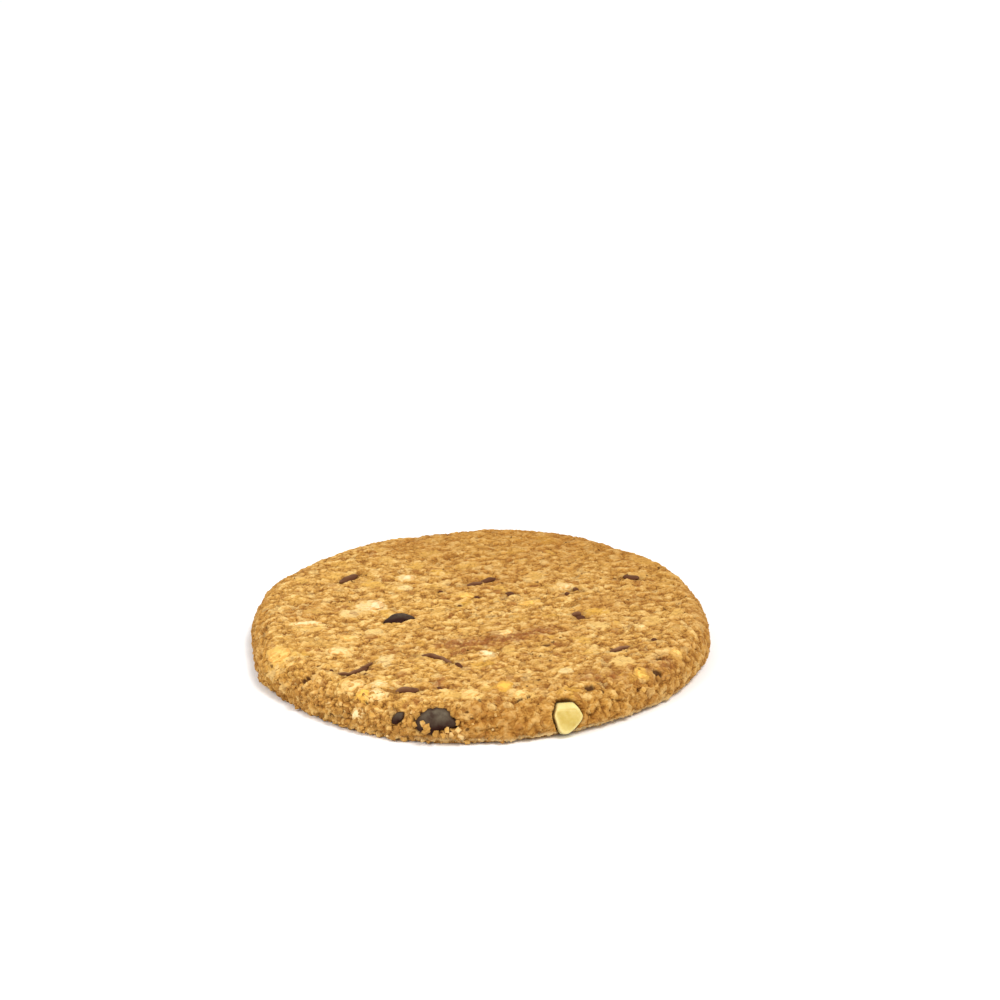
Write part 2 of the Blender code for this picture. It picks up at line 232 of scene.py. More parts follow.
# Oats in the dough. Steamed, rolled oat flakes, whole and broken, lie level in the crust and are
# half covered by it. They are paler than the dough, from golden to white.
# x, y, length, width, turn in degrees, paleness from golden to white, share that is uncovered.
# Those that are all but uncovered also stand out of the crust, and are modelled further down.
FLAKES = (
    (-31.4, -17.6, 4.4, 4.4, 4, 0.25, 1.06),
    (-22.1, -17.1, 4.2, 3.2, -8, 0.6, 1.0),
    (-27.8, -5.6, 5.0, 1.9, 4, 0.85, 1.04),
    (-27.4, -7.2, 4.6, 2.6, 0, 0.3, 0.7),
    (-17.6, 1.6, 4.4, 4.6, 30, 1.0, 0.95),
    (-20.8, -1.2, 3.8, 2.6, 25, 0.8, 0.8),
    (-12.3, 13.3, 3.0, 2.4, 0, 1.0, 0.9),
    (-12.5, 9.2, 2.6, 1.9, 10, 0.85, 0.8),
    (-16.9, -8.9, 2.6, 3.0, 70, 0.65, 0.8),
    (-14.8, -20.4, 2.4, 3.6, -20, 0.8, 0.8),
    (-19.4, -29.9, 3.6, 3.4, 10, 0.6, 1.0),
    (-18.7, -33.9, 2.4, 1.8, 20, 0.95, 1.0),
    (-17.7, -32.4, 2.4, 2.6, 40, 0.05, 1.0),
    (-15.6, -32.6, 2.8, 3.4, 40, 0.8, 1.0),
    (-15.5, -29.2, 2.6, 2.2, 0, 0.9, 0.9),
    (-1.4, -33.1, 2.8, 4.6, 20, 0.45, 1.0),
    (3.6, -30.7, 2.8, 3.4, -20, 0.0, 1.0),
    (5.9, -33.2, 2.4, 3.0, -25, 0.45, 1.0),
    (3.7, -9.9, 4.2, 2.2, 24, 0.55, 0.9),
    (1.1, -18.4, 1.8, 3.0, 60, 1.0, 1.0),
    (19.1, -7.1, 3.4, 2.8, 10, 0.5, 0.7),
    (25.7, -8.2, 1.9, 2.0, 0, 0.6, 0.9),
    (24.8, -25.1, 2.2, 2.4, 20, 0.1, 0.9),
    (22.2, -21.5, 3.2, 3.6, 12, 0.5, 0.8),
    (13.2, -24.8, 2.2, 2.2, 0, 1.0, 0.8),
    (14.0, 9.6, 2.8, 2.8, 0, 0.85, 0.9),
    (-32.4, -19.8, 3.0, 2.6, 60, 0.7, 0.8),
    (8.9, 12.9, 3.6, 3.0, 10, 0.6, 0.6),
)
# The small ones between them: how many, how far out, how unevenly spread, and their ranges
LOOSE_FLAKES, LOOSE_REACH, LOOSE_SCATTER = 120, 36.0, 1.6
LOOSE_LENGTH, LOOSE_WIDTH_SHARE = (2.0, 4.2), (0.45, 0.85)
LOOSE_PALENESS, LOOSE_UNCOVERED = (0.0, 0.4), (0.15, 0.7)
pick = random.Random(11)


def surface_at(x, y):
    """The smooth dough over this place: its point and its outward normal, in millimetres."""
    def height(x, y):
        away = np.array([x - OUTLINE_CENTRE.x, y - OUTLINE_CENTRE.y])
        azimuth = math.degrees(math.atan2(away[1], away[0]))
        inside = max(0.0, rim_radius(azimuth) - np.hypot(*away))
        rise = BACK_RISE * nearness(azimuth, BACK_AZIMUTH, BACK_HALF_WIDTH)
        outward = max(0.0, 1.0 - inside / SHOULDER_WIDTH)
        drop = 1.0 - math.sqrt(1.0 - outward ** SHOULDER_ROUNDNESS)
        fall = (TOP_HEIGHT - WIDEST_HEIGHT) * drop
        return TOP_HEIGHT - fall + rise * math.exp(-inside / BACK_REACH)

    step = 0.3
    across = height(x + step, y) - height(x - step, y)
    along = height(x, y + step) - height(x, y - step)
    normal = Vector((-across, -along, 2.0 * step)).normalized()
    return Vector((x, y, height(x, y))), normal


def standing_at(x, y, turn, lean=(0.0, 0.0)):
    """The place of a piece that lies on the smooth dough here, turned this many degrees."""
    point, normal = surface_at(x, y)
    normal = (normal + Vector((*lean, 0.0))).normalized()
    up = Vector((0.0, 0.0, 1.0)).rotation_difference(normal).to_matrix().to_4x4()
    return Matrix.Translation(point) @ up @ Matrix.Rotation(math.radians(turn), 4, "Z")


def moved_to(points, place):
    """The points of a piece once it stands in this place."""
    turned = np.array(place)
    return points @ turned[:3, :3].T + turned[:3, 3]


def seen_from(place):
    """The dough's points as seen from a piece in this place."""
    return moved_to(points_of(dough), place.inverted())


loose = []
golden_turn = math.pi * (3.0 - math.sqrt(5.0))
for index in range(LOOSE_FLAKES):
    distance = LOOSE_REACH * math.sqrt((index + 0.5) / LOOSE_FLAKES)
    x = OUTLINE_CENTRE.x + distance * math.cos(index * golden_turn)
    y = OUTLINE_CENTRE.y + distance * math.sin(index * golden_turn)
    x += pick.uniform(-LOOSE_SCATTER, LOOSE_SCATTER)
    y += pick.uniform(-LOOSE_SCATTER, LOOSE_SCATTER)
    length = pick.uniform(*LOOSE_LENGTH)
    width = length * pick.uniform(*LOOSE_WIDTH_SHARE)
    turn, paleness = pick.uniform(0.0, 180.0), pick.uniform(*LOOSE_PALENESS)
    loose.append((x, y, length, width, turn, paleness, pick.uniform(*LOOSE_UNCOVERED)))

oat = np.zeros(len(dough.data.vertices))
oat_tone = np.full(len(oat), 0.5)
for x, y, length, width, turn, paleness, uncovered in (*loose, *FLAKES):
    local = seen_from(standing_at(x, y, turn))
    angle = np.arctan2(local[:, 1] / width, local[:, 0] / length)
    apart = np.abs(local[:, :2] / (0.5 * length, 0.5 * width)) ** 3
    apart = apart.sum(axis=1) ** (1.0 / 3.0)
    for waves in (3, 5, 8):
        apart *= 1.0 + pick.uniform(0.03, 0.12) * np.sin(waves * angle + pick.uniform(0.0, 6.3))
    body = held((1.08 - apart) / 0.15) * (np.abs(local[:, 2]) < 1.2)
    covers = body * uncovered > oat
    oat_tone[covers] = paleness
    oat = np.maximum(oat, body * uncovered)
keep_number(dough, "oat", oat)
keep_number(dough, "oat_tone", oat_tone)

# The baked crust. As the dough dried it drew up into fine curly folds and small pits, with oats
# lying flatter between them, and its cut edge stayed crumbly.
def linear(hexadecimal):
    """Linear red, green, blue and alpha of an sRGB colour."""
    parts = [int(hexadecimal[at : at + 2], 16) / 255.0 for at in (1, 3, 5)]
    return (*[c / 12.92 if c <= 0.04045 else ((c + 0.055) / 1.055) ** 2.4 for c in parts], 1.0)


def feed(tree, node, inputs):
    """Gives each of these inputs a value, a colour in hex, or the node or output that it reads."""
    for name, value in inputs.items():
        if isinstance(value, str) and value.startswith("#"):
            value = linear(value)
        if isinstance(value, bpy.types.Node):
            value = value.outputs[0]
        if isinstance(value, bpy.types.NodeSocket):
            tree.links.new(value, node.inputs[name])
        else:
            node.inputs[name].default_value = value


def add(tree, kind, inputs, **settings):
    """Adds a node with its settings and what it reads."""
    node = tree.nodes.new(kind)
    for name, value in settings.items():
        setattr(node, name, value)
    feed(tree, node, inputs)
    return node


# Sizes of the folds, the grain and its granules, the pits, and the crumbs of the cut edge
FOLD_SIZE, FINE_FOLD_SIZE, GRAIN_SIZE, GRANULE_SIZE = 1.5, 0.75, 1.25, 1.0
PIT_SPACING, PIT_SIZE, CRUMB_SIZE = 1.9, 0.42, 1.25
# The patterns drift, and the granules are torn besides: size, detail, roughness, and how far
DRIFTS = ((2.2, 2.0, 0.55, 1.7), (0.7, 1.0, 0.5, 0.9))
# The dough was rolled this way, which drew its grain out: azimuth, and share of the length kept
ROLLED_AZIMUTH, ROLLED_SHARE = 20.0, 0.72


def crust(tree, place, oat):
    """What the crust is made of at this place in millimetres, for its relief and its colours."""
    places = [place]
    for size, detail, roughness, how_far in DRIFTS:
        drift = add(
            tree, "ShaderNodeTexNoise",
            {"Vector": place, "Scale": 1 / size, "Detail": detail, "Roughness": roughness},
        )
        drift = add(
            tree, "ShaderNodeVectorMath", {0: drift.outputs["Color"], 1: [0.5] * 3},
            operation="SUBTRACT",
        )
        drift = add(
            tree, "ShaderNodeVectorMath", {0: drift, 1: [how_far] * 3, 2: places[-1]},
            operation="MULTIPLY_ADD",
        )
        places.append(drift)
    _, bent, torn = places
    rolled = add(
        tree, "ShaderNodeVectorRotate",
        {"Vector": bent, "Angle": math.radians(-ROLLED_AZIMUTH)}, rotation_type="Z_AXIS",
    )
    rolled = add(
        tree, "ShaderNodeVectorMath", {0: rolled, 1: (ROLLED_SHARE, 1.0, 1.0)}, operation="MULTIPLY"
    )
    folds = []
    for size in (FOLD_SIZE, FINE_FOLD_SIZE):
        fold = add(
            tree, "ShaderNodeTexNoise",
            {"Vector": rolled, "Scale": 1 / size, "Detail": 1.0, "Roughness": 0.5},
        )
        fold = add(tree, "ShaderNodeMath", {0: fold, 1: 0.5}, operation="SUBTRACT")
        fold = add(tree, "ShaderNodeMath", {0: fold}, operation="ABSOLUTE")
        fold = add(
            tree, "ShaderNodeMapRange", {0: fold, 1: 0.0, 2: 0.12}, interpolation_type="SMOOTHSTEP"
        )
        folds.append(fold)
    grain = add(
        tree, "ShaderNodeTexNoise",
        {"Vector": rolled, "Scale": 1 / GRAIN_SIZE, "Detail": 4.0, "Roughness": 0.6},
    )
    crevice = add(
        tree, "ShaderNodeMath", {0: folds[1], 1: 0.55, 2: folds[0]}, operation="MULTIPLY_ADD"
    )
    crevice = add(tree, "ShaderNodeMath", {0: grain, 1: 1.6, 2: crevice}, operation="MULTIPLY_ADD")
    crevice = add(
        tree, "ShaderNodeMapRange", {0: crevice, 1: 1.1, 2: 0.7}, interpolation_type="SMOOTHSTEP"
    )
    cells = {}
    for name, read, size in (
        ("granule", torn, GRANULE_SIZE), ("pit", bent, PIT_SPACING), ("crumb", bent, CRUMB_SIZE)
    ):
        cell = add(tree, "ShaderNodeTexVoronoi", {"Vector": read, "Scale": 1 / size})
        kind = add(tree, "ShaderNodeSeparateXYZ", {"Vector": cell.outputs["Color"]})
        cells[name] = (cell, kind.outputs[0], kind.outputs[1])
    gap = add(
        tree, "ShaderNodeTexVoronoi", {"Vector": torn, "Scale": 1 / GRANULE_SIZE},
        feature="DISTANCE_TO_EDGE",
    )
    gap = add(
        tree, "ShaderNodeMapRange", {0: gap, 1: 0.16, 2: 0.03}, interpolation_type="SMOOTHSTEP"
    )
    open_here = add(
        tree, "ShaderNodeMapRange", {0: grain, 1: 0.6, 2: 0.42}, interpolation_type="SMOOTHSTEP"
    )
    gap = add(tree, "ShaderNodeMath", {0: gap, 1: open_here}, operation="MULTIPLY")
    middle, kind, _ = cells["pit"]
    wall = add(
        tree, "ShaderNodeMapRange", {0: kind, 1: 0.3, 2: 1.0, 3: 0.02, 4: PIT_SIZE / PIT_SPACING}
    )
    pit = add(tree, "ShaderNodeMath", {0: middle, 1: wall}, operation="DIVIDE")
    pit = add(tree, "ShaderNodeMapRange", {0: pit, 1: 1.0, 2: 0.6}, interpolation_type="SMOOTHSTEP")
    showing = add(
        tree, "ShaderNodeMapRange", {0: grain, 1: 0.66, 2: 0.5}, interpolation_type="SMOOTHSTEP"
    )
    flake = add(tree, "ShaderNodeMath", {0: oat, 1: showing}, operation="MULTIPLY")
    pressed = add(tree, "ShaderNodeMath", {0: flake, 1: -0.5, 2: 1.0}, operation="MULTIPLY_ADD")
    crevice = add(tree, "ShaderNodeMath", {0: crevice, 1: pressed}, operation="MULTIPLY")
    gap = add(tree, "ShaderNodeMath", {0: gap, 1: pressed}, operation="MULTIPLY")
    granule, granule_tone, _ = cells["granule"]
    crumb, crumb_tone, crumb_kind = cells["crumb"]
    return {
        "granule": granule, "granule_tone": granule_tone, "gap": gap, "pit": pit,
        "fold": folds[0], "fine_fold": folds[1], "grain": grain, "crevice": crevice,
        "crumb": crumb, "crumb_tone": crumb_tone, "crumb_kind": crumb_kind,
        "flake": flake, "pressed": pressed,
    }


relief = bpy.data.node_groups.new("relief", "GeometryNodeTree")
relief.interface.new_socket("Geometry", in_out="INPUT", socket_type="NodeSocketGeometry")
relief.interface.new_socket("Geometry", in_out="OUTPUT", socket_type="NodeSocketGeometry")
start = add(relief, "NodeGroupInput", {})
place = add(relief, "GeometryNodeInputNamedAttribute", {"Name": "place"}, data_type="FLOAT_VECTOR")
kept = {
    name: add(relief, "GeometryNodeInputNamedAttribute", {"Name": name}, data_type="FLOAT")
    for name in ("under", "crumbly", "oat")
}
made_of = crust(relief, place, kept["oat"])
# Broad swells, lumps, and jags in the cut edge: size, detail and roughness
broad, lumps, jagged = (
    add(relief, "ShaderNodeTexNoise",
        {"Vector": place, "Scale": 1 / size, "Detail": detail, "Roughness": roughness})
    for size, detail, roughness in ((19.0, 0.0, 0.5), (5.2, 1.0, 0.5), (1.15, 3.0, 0.75))
)
jagged = add(relief, "ShaderNodeMath", {0: jagged, 1: 0.5}, operation="SUBTRACT")
jagged = add(relief, "ShaderNodeMath", {0: jagged, 1: kept["crumbly"]}, operation="MULTIPLY")


def raised(height, layers):
    """The relief with these on it: what each reads, how high it is in millimetres, its mean."""
    for layer, tall, mean in layers:
        height = add(
            relief, "ShaderNodeMath", {0: layer, 1: tall, 2: height}, operation="MULTIPLY_ADD"
        )
        height = add(relief, "ShaderNodeMath", {0: height, 1: tall * mean}, operation="SUBTRACT")
    return height


height = raised(0.0, (
    (made_of["fold"], 0.12, 0.6),
    (made_of["fine_fold"], 0.06, 0.6),
    (made_of["grain"], 0.78, 0.5),
    (made_of["granule"], -0.2, 0.45),
    (made_of["crevice"], -0.22, 0.0),
    (made_of["gap"], -0.1, 0.0),
    (made_of["pit"], -0.35, 0.0),
))
height = add(relief, "ShaderNodeMath", {0: height, 1: made_of["pressed"]}, operation="MULTIPLY")
coarser = add(relief, "ShaderNodeMapRange", {0: kept["crumbly"], 1: 0.2, 2: 1.0, 3: 1.0, 4: 1.3})
height = add(relief, "ShaderNodeMath", {0: height, 1: coarser}, operation="MULTIPLY")
domed = add(relief, "ShaderNodeMath", {0: 0.42, 1: made_of["crumb"]}, operation="SUBTRACT")
domed = add(relief, "ShaderNodeMath", {0: domed, 1: kept["crumbly"]}, operation="MULTIPLY")
height = raised(height, (
    (broad, 0.5, 0.5),
    (lumps, 0.6, 0.5),
    (domed, 0.5, 0.0),
    (jagged, 2.4, 0.0),
    (made_of["flake"], 0.16, 0.0),
))
free = add(relief, "ShaderNodeMath", {0: 1.0, 1: kept["under"]}, operation="SUBTRACT")
height = add(relief, "ShaderNodeMath", {0: height, 1: free}, operation="MULTIPLY")
height = add(relief, "ShaderNodeMath", {0: height, 1: MM}, operation="MULTIPLY")
normal = add(relief, "GeometryNodeInputNormal", {})
offset = add(relief, "ShaderNodeVectorMath", {0: normal, "Scale": height}, operation="SCALE")
moved = add(relief, "GeometryNodeSetPosition", {"Geometry": start.outputs[0], "Offset": offset})
add(relief, "NodeGroupOutput", {0: moved})
modify(dough, "NODES", node_group=relief)
bpy.ops.object.shade_smooth()
points = points_of(dough)
points[:, 2] = np.clip(points[:, 2], 0.0, None)
set_points(dough, points)


def new_material(piece, name, *reads):
    """Gives the piece a material. Returns its tree, its shader, and the numbers that it reads."""
    material = bpy.data.materials.new(name)
    material.use_nodes = True
    piece.data.materials.append(material)
    tree = material.node_tree
    kept = (add(tree, "ShaderNodeAttribute", {}, attribute_name=read) for read in reads)
    return tree, tree.nodes["Principled BSDF"], *(read.outputs["Fac"] for read in kept)


def painted(tree, colour, layers):
    """The colour with these laid on it: what each reads, from and to what, its share, its shade."""
    for read, least, most, cover, shade in layers:
        amount = add(tree, "ShaderNodeMapRange", {0: read, 1: least, 2: most, 4: cover})
        mixed = {0: amount, 6: colour, 7: shade}
        colour = add(tree, "ShaderNodeMix", mixed, data_type="RGBA").outputs[2]
    return colour


# Baked crust: dry, matt and porous, with cream and golden oats and a few reddish specks of bran.
# Its crowns are pale gold, and its creases brown and its pits dark with painted shade.
tree, shader, under, toast_and_shade, paler_lower_edge, oat, oat_tone, hollow_shade, stain = new_material(
    dough, "baked_crust", "under", "toast_and_shade", "paler_lower_edge", "oat", "oat_tone", "hollow_shade", "stain"
)
place = add(tree, "ShaderNodeAttribute", {}, attribute_name="place").outputs["Vector"]
made_of = crust(tree, place, oat)
# Browner and paler patches, mottling, and the sand of the flour, which is drawn coarser than it is
# so that it shows: size, detail and roughness
browned, mottle, sand = (
    add(tree, "ShaderNodeTexNoise",
        {"Vector": place, "Scale": 1 / size, "Detail": detail, "Roughness": roughness})
    for size, detail, roughness in ((11.0, 3.0, 0.62), (0.8, 3.0, 0.65), (0.35, 2.0, 0.6))
)
# How light the crust is: what it reads and how much that counts. Through the folds and the grain it
# is lighter high in the relief and darker low down, which is painted shade; the granules, crumbs
# and mottling give it tone of its own.
tone = 0.0
for read, counts in (
    (made_of["fold"], 0.14),
    (made_of["fine_fold"], 0.14),
    (made_of["grain"], 1.55),
    (made_of["crumb_tone"], 0.1),
    (made_of["granule_tone"], 0.24),
    (mottle, 0.5),
):
    tone = add(tree, "ShaderNodeMath", {0: read, 1: counts, 2: tone}, operation="MULTIPLY_ADD")
colour = painted(tree, "#8C5C24", (
    (tone, 1.05, 1.34, 1.0, "#C59144"),
    (tone, 1.34, 1.76, 1.0, "#EAC37A"),
))
oat = add(
    tree, "ShaderNodeMix", {0: oat_tone, 6: "#E0AC42", 7: "#F0D494"}, data_type="RGBA"
).outputs[2]
broken = add(tree, "ShaderNodeMapRange", {0: mottle, 1: 0.36, 2: 0.6, 3: 0.2, 4: 1.2})
stained = add(tree, "ShaderNodeMath", {0: stain, 1: broken}, operation="MULTIPLY")
# What shows in the crust, each over the ones before it
colour = painted(tree, colour, (
    (browned, 0.5, 0.75, 0.38, "#A0662A"),
    (browned, 0.46, 0.25, 0.28, "#E2B252"),
    (made_of["flake"], 0.1, 0.8, 0.76, oat),
    (made_of["crumb_kind"], 0.92, 0.95, 0.3, "#F0D28E"),
    (made_of["crumb_kind"], 0.07, 0.04, 0.45, "#8A4E20"),
    (stained, 0.1, 0.85, 0.74, "#84441F"),
    # Painted shade in the creases and in the gaps between the granules
    (made_of["crevice"], 0.0, 1.0, 0.58, "#6E4012"),
    (made_of["gap"], 0.0, 1.0, 0.32, "#7C4A16"),
    # Browner on the side and toward the back right: partly baked browning, partly painted shade
    (toast_and_shade, 0.2, 1.0, 0.64, "#A2681F"),
    # Paler along the lower edge at the front right
    (paler_lower_edge, 0.2, 1.0, 0.65, "#EFD69C"),
    # Painted shade in the pits
    (made_of["pit"], 0.0, 1.0, 0.8, "#54300E"),
    # Painted shade in the hollows round the chocolate, the nut, the streaks and the cracks
    (hollow_shade, 0.2, 1.0, 0.9, "#3E2008"),
    (under, 0.0, 1.0, 0.45, "#A86A2C"),
))
dry = add(tree, "ShaderNodeMapRange", {0: made_of["flake"], 3: 0.92, 4: 0.75})
sand = add(
    tree, "ShaderNodeMath", {0: made_of["fine_fold"], 1: 0.4, 2: sand}, operation="MULTIPLY_ADD"
)
for read, counts in (
    (mottle, 1.0),
    (made_of["granule"], -1.1),
    (made_of["gap"], -0.6),
    (made_of["pit"], -1.0),
):
    sand = add(tree, "ShaderNodeMath", {0: read, 1: counts, 2: sand}, operation="MULTIPLY_ADD")
sand = add(tree, "ShaderNodeMath", {0: sand, 1: made_of["pressed"]}, operation="MULTIPLY")
bump = add(tree, "ShaderNodeBump", {"Height": sand, "Distance": 0.12 * MM, "Strength": 1.0})
feed(tree, shader, {
    "Base Color": colour, "Roughness": dry, "Specular IOR Level": 0.2, "Normal": bump,
})
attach(dough, "root")
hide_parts("biscuit")

# Oat flakes that look out of the crust. The largest ones stand a little above it, with thin
# broken edges, and are still bedded in the dough on one side.
def rest_level(place, length, width):
    """How high the rough crust stands over the smooth dough under a piece of this size."""
    local = seen_from(place)
    apart = np.hypot(local[:, 0] / (0.5 * length), local[:, 1] / (0.5 * width))
    near = (apart < 1.0) & (np.abs(local[:, 2]) < 1.6)
    return float(local[near, 2].mean()) if near.any() else 0.0


def shade_hollow(shade):
    """Keeps how dark the painted shade is in the hollow, unless it is darker there already."""
    keep_number(dough, "hollow_shade", np.maximum(kept_number(dough, "hollow_shade"), shade))


def press_in(apart, normal, depth, shade):
    """Draws the crust in by this depth where this is below 1, and paints shade there."""
    closeness = held((1.35 - apart) / 0.45)
    closeness = closeness ** 2 * (3.0 - 2.0 * closeness)
    set_points(dough, points_of(dough) - np.outer(closeness * depth, normal))
    shade_hollow(closeness * shade)


def join(pieces, name):
    """Joins these pieces into one object of this name."""
    bpy.ops.object.select_all(action="DESELECT")
    for piece in pieces:
        piece.select_set(True)
    bpy.context.view_layer.objects.active = pieces[0]
    bpy.ops.object.join()
    joined = bpy.context.object
    joined.name = name
    bpy.ops.object.shade_smooth()
    return joined


def copy_of(pattern, points, name):
    """A copy of this piece that has these points, in millimetres."""
    piece = bpy.data.objects.new(name, pattern.data.copy())
    set_points(piece, points)
    bpy.context.scene.collection.objects.link(piece)
    return piece


def place_in(tree):
    """The place on the piece that its pattern reads, in millimetres."""
    where = add(tree, "ShaderNodeTexCoord", {}).outputs["Object"]
    return add(tree, "ShaderNodeVectorMath", {0: where, "Scale": 1.0 / MM}, operation="SCALE")


FLAKE_THICKNESS, FLAKE_PROUD = 0.36, 0.06
STANDS_OUT, LOOSE_STANDS_OUT = 0.9, 0.66
FLAKE_WAVE, GROOVE_DEPTH, GROOVE_WIDTH, BLOTCH_SIZE = 0.06, 0.1, 0.16, 0.8
keep_number(dough, "hollow_shade", np.zeros(len(dough.data.vertices)))
pattern_flake = new_piece(
    bpy.ops.mesh.primitive_uv_sphere_add, segments=24, ring_count=8, radius=0.5
)
pattern = points_of(pattern_flake) * MM
flat_rim = np.hypot(pattern[:, 0], pattern[:, 1]) * 2.0
around = np.arctan2(pattern[:, 1], pattern[:, 0])
pattern[:, 2] = np.sign(pattern[:, 2]) * np.abs(pattern[:, 2] * 2.0) ** 0.5 * 0.5
keep_number(pattern_flake, "rim", flat_rim)
standing_out = [flake for flake in FLAKES if flake[6] >= STANDS_OUT]
standing_out += [flake for flake in loose if flake[6] >= LOOSE_STANDS_OUT]
flakes = []
for x, y, length, width, turn, paleness, uncovered in standing_out:
    corners = sorted(pick.uniform(-math.pi, math.pi) for corner in range(7))
    reaches = [pick.uniform(0.7, 1.02) for corner in corners]
    ragged = np.interp(around, corners, reaches, period=2.0 * math.pi)
    points = pattern.copy()
    points[:, 0] *= length * ragged
    points[:, 1] *= width * ragged
    groove = np.exp(-((points[:, 1] / GROOVE_WIDTH) ** 2)) * (flat_rim < 0.8)
    waves = np.sin(2.1 * points[:, 0] + turn) * np.cos(1.7 * points[:, 1] + turn)
    points[:, 2] = points[:, 2] * FLAKE_THICKNESS + FLAKE_WAVE * waves
    points[:, 2] -= GROOVE_DEPTH * groove * (pattern[:, 2] > 0)
    place = standing_at(x, y, turn, (pick.uniform(-0.1, 0.1), pick.uniform(-0.1, 0.1)))
    proud = FLAKE_PROUD + max(0.0, uncovered - STANDS_OUT)
    points[:, 2] += rest_level(place, length, width) + proud - 0.5 * FLAKE_THICKNESS
    flake = copy_of(pattern_flake, moved_to(points, place), "flake")
    keep_number(flake, "paleness", np.full(len(points), paleness))
    flakes.append(flake)
bpy.data.objects.remove(pattern_flake)
oats = join(flakes, "rolled_oats")

# Rolled oat: starchy, matt to satin, pale cream to gold, with toasted edges and floury blotches
tree, shader, rim, paleness = new_material(oats, "rolled_oat", "rim", "paleness")
where = place_in(tree)
colour = add(
    tree, "ShaderNodeMix", {0: paleness, 6: "#F0B84A", 7: "#F0D8A4"}, data_type="RGBA"
).outputs[2]
blotch = add(
    tree, "ShaderNodeTexNoise",
    {"Vector": where, "Scale": 1 / BLOTCH_SIZE, "Detail": 4.0, "Roughness": 0.65},
)
toasted = add(tree, "ShaderNodeMath", {0: rim, 1: 0.34, 2: blotch}, operation="MULTIPLY_ADD")
toasted = add(
    tree, "ShaderNodeMapRange", {0: toasted, 1: 0.62, 2: 0.86, 4: 0.85},
    interpolation_type="SMOOTHSTEP",
)
colour = add(
    tree, "ShaderNodeMix", {0: toasted, 6: colour, 7: "#CC923E"}, data_type="RGBA"
).outputs[2]
bump = add(tree, "ShaderNodeBump", {"Height": blotch, "Distance": 0.15 * MM, "Strength": 1.0})
feed(tree, shader, {
    "Base Color": colour, "Roughness": 0.7, "Specular IOR Level": 0.3, "Normal": bump,
})
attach(oats, "root")
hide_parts("biscuit")

# Dark chocolate, chopped before it went into the dough. The pieces softened in the oven and set
# again dull, sunk in the crust. Some were dragged into thin streaks as the dough was rolled.
# Streaks: the line that the middle follows, width, how far it stands proud, how much bloom and
# painted sheen it has
STREAKS = (
    (((-23.4, 12.0), (-22.2, 13.4), (-20.6, 15.4)), 1.66, 0.31, 0.4),
    (((-2.3, 10.5), (-0.9, 10.9), (0.4, 11.6)), 1.19, 0.22, 0.7),
    (((0.2, 12.0), (1.2, 12.4), (2.7, 13.3)), 1.31, 0.22, 0.3),
    (((-12.9, -31.4), (-11.2, -31.2), (-9.3, -31.3)), 1.78, 0.26, 0.8),
    (((-9.9, -18.5), (-7.9, -18.0), (-6.3, -19.0), (-4.5, -20.9)), 1.13, 0.22, 0.9),
    (((-3.9, -21.5), (-2.7, -23.2)), 0.84, 0.16, 0.0),
    (((-22.2, -25.2), (-20.3, -25.7), (-18.6, -24.0), (-16.7, -21.0)), 0.89, 0.18, 0.7),
    (((-18.4, -24.2), (-17.6, -23.2)), 1.31, 0.2, 0.2),
    (((-18.0, -25.6), (-17.4, -25.5)), 1.07, 0.14, 0.0),
    (((-23.3, -24.1), (-22.7, -23.9)), 1.07, 0.12, 0.0),
    (((23.9, 13.9), (25.3, 13.6), (26.6, 13.1)), 1.66, 0.22, 0.3),
    (((15.4, 8.6), (16.3, 8.9)), 1.31, 0.2, 0.6),
    (((13.9, 6.8), (15.0, 7.0)), 1.07, 0.16, 0.2),
    (((14.8, -1.8), (16.4, -1.6)), 1.43, 0.2, 1.0),
    (((15.4, -3.2), (17.0, -3.2)), 1.54, 0.2, 0.0),
    (((20.4, -17.4), (21.8, -16.5), (23.5, -15.4)), 1.31, 0.28, 1.0),
    (((4.1, 6.7), (5.6, 7.0)), 1.43, 0.18, 0.1),
    (((-0.9, 5.3), (-0.2, 5.9)), 1.07, 0.16, 0.0),
    (((-6.8, 7.9), (-6.2, 8.3)), 0.95, 0.12, 0.0),
    (((-3.7, 1.6), (-3.0, 2.0)), 0.95, 0.12, 0.0),
    (((27.1, -12.9), (28.0, -12.5)), 1.19, 0.18, 0.0),
    (((-6.7, -30.6), (-5.9, -30.2)), 0.84, 0.1, 0.0),
)
STREAK_DEPTH, LEAST_DEPTH, BLOOM_AND_SHEEN_SIZE = 0.5, 0.8, 1.4


def along_surface(line, share):
    """Points and normals of the smooth dough at these shares of the way along a line on it."""
    steps = np.hypot(*np.diff(np.array(line), axis=0).T)
    reached = np.concatenate([[0.0], np.cumsum(steps)]) / steps.sum()
    marks = np.linspace(0.0, 1.0, 25)
    places = [
        surface_at(np.interp(mark, reached, [x for x, y in line]),
                   np.interp(mark, reached, [y for x, y in line]))
        for mark in marks
    ]
    points, normals = (np.array([place[part] for place in places]) for part in (0, 1))
    return [
        np.stack([np.interp(share, marks, values[:, axis]) for axis in range(3)], axis=1)
        for values in (points, normals)
    ]


def apart_from(line, reach):
    """How far the dough's points are from a line on the dough, in reaches."""
    middles, _ = along_surface(line, np.linspace(0.0, 1.0, 25))
    points = points_of(dough)
    near = np.flatnonzero(np.abs(points[:, :2] - middles[:, :2].mean(axis=0)).max(axis=1) < 9.0)
    apart = np.full(len(points), 99.0)
    gaps = np.linalg.norm(points[near, None, :] - middles[None, :, :], axis=2)
    apart[near] = gaps.min(axis=1) / reach
    return apart


def new_pebble():
    """A round piece of radius 1, and its points."""
    pebble = new_piece(bpy.ops.mesh.primitive_ico_sphere_add, subdivisions=4, radius=1.0)
    return pebble, points_of(pebble) * MM


